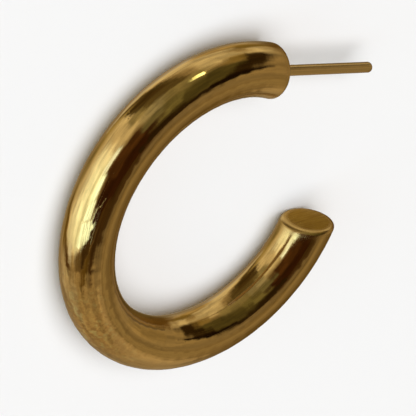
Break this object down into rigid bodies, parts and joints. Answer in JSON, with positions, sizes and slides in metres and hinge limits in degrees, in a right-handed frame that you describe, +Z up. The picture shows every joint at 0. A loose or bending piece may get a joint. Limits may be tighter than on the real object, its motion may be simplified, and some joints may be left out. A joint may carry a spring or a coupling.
{
  "type": "hoop earring",
  "caption": "Chunky open hoop earring of round polished gold tube with flat capped ends, worn on a straight post through a pierced lobe.",
  "frame": {"origin": "centre of the ring, at the height of the surface the earring lies on", "axes": "+Z up along the ring's axis, so the hoop lies on its side; +Y the way the post points, from the front of the earlobe to the back; +X across the ring, from the post towards the free end"},
  "size_m": [0.026, 0.0259, 0.004],
  "materials": {
    "polished_gold": "polished",
    "post_gold": "polished"
  },
  "bodies": {
    "root": {"hoop": "polished_gold", "ear_post": "post_gold"}
  },
  "joints": []
}
